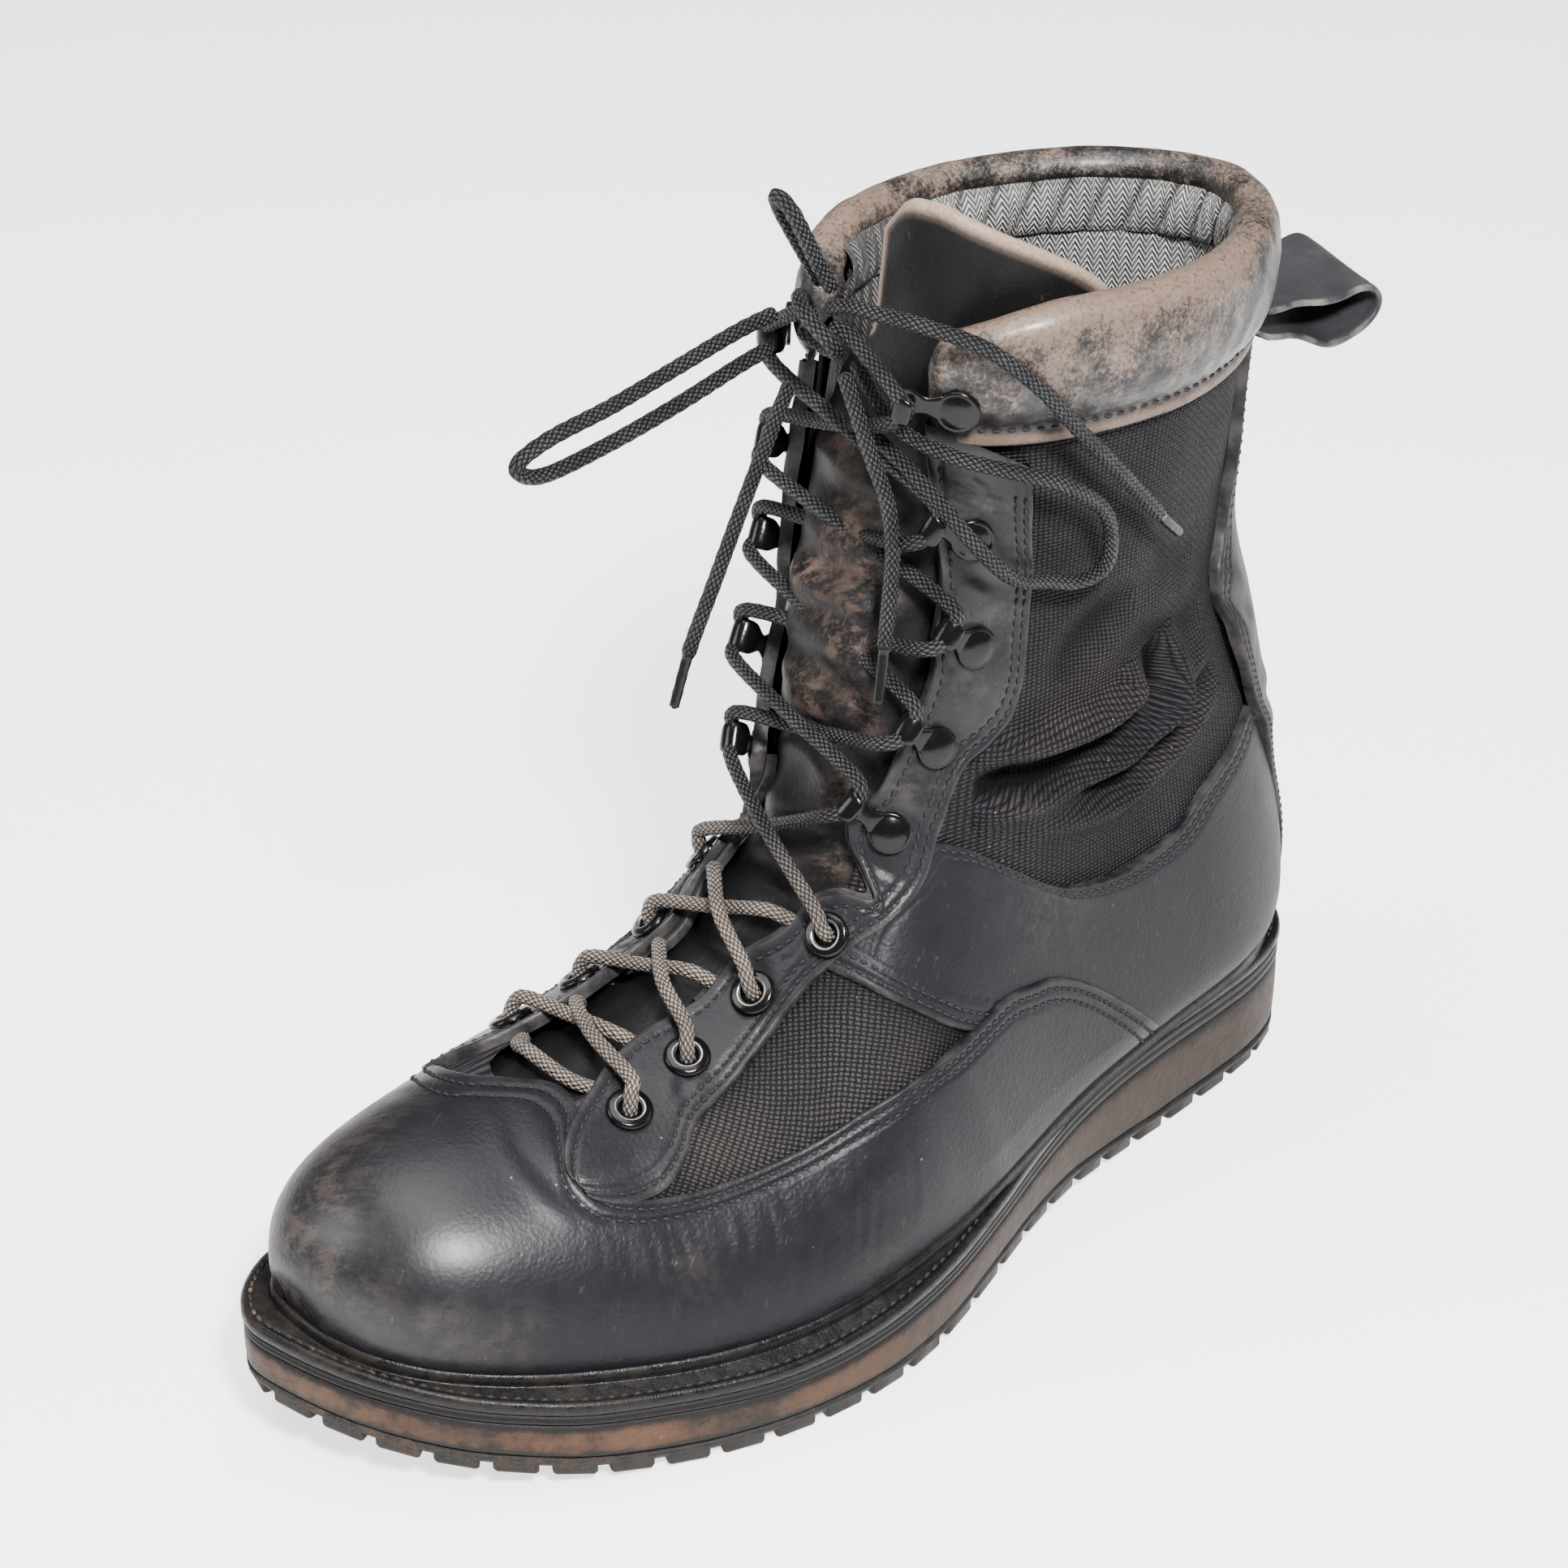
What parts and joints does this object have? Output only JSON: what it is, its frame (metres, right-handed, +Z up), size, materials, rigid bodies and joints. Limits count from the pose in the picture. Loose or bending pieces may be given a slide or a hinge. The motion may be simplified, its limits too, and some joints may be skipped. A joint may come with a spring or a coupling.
{
  "type": "work boot",
  "caption": "Lace-up work boot for the left foot with padded collar, tongue, pull loop, eyelets and speed hooks, stitched welt and a brown wedge midsole over a lugged outsole.",
  "frame": {"origin": "on the floor at the middle of the heel's flat tread", "axes": "+X towards the toe, +Y towards the outer side of the foot, +Z up"},
  "size_m": [0.335, 0.1242, 0.2755],
  "materials": {
    "backstay": "worn black leather with raw edges",
    "collar": "faded, creased black to tan leather",
    "eyelet": "black, worn to metal at the hole",
    "eyestay": "worn black leather",
    "hook": "black paint",
    "insole": "matte",
    "lace": "round braided cord, faded below",
    "midsole": "worn brown, layered",
    "outsole": "matte black, lugged",
    "pull_loop": "black webbing",
    "slip_sole": "matte black",
    "tongue": "worn black leather, brown scuffed front",
    "upper": "worn black leather with woven panels",
    "welt": "black, stitched, slightly glossy"
  },
  "bodies": {
    "root": {"backstay": "backstay", "collar": "collar", "eyelet_lateral_1": "eyelet", "eyelet_lateral_2": "eyelet", "eyelet_lateral_3": "eyelet", "eyelet_lateral_4": "eyelet", "eyelet_medial_1": "eyelet", "eyelet_medial_2": "eyelet", "eyelet_medial_3": "eyelet", "eyelet_medial_4": "eyelet", "eyestay_lateral": "eyestay", "eyestay_medial": "eyestay", "hook_lateral_1": "hook", "hook_lateral_2": "hook", "hook_lateral_3": "hook", "hook_lateral_4": "hook", "hook_lateral_5": "hook", "hook_medial_1": "hook", "hook_medial_2": "hook", "hook_medial_3": "hook", "hook_medial_4": "hook", "hook_medial_5": "hook", "insole": "insole", "lace_crossings": "lace", "lace_end_front": "lace", "lace_end_low": "lace", "lace_end_side": "lace", "lace_knot": "lace", "lace_loop_front": "lace", "lace_loop_side": "lace", "lace_loop_upright": "lace", "midsole": "midsole", "outsole": "outsole", "pull_loop": "pull_loop", "slip_sole": "slip_sole", "tongue": "tongue", "upper": "upper", "welt": "welt"}
  },
  "joints": []
}
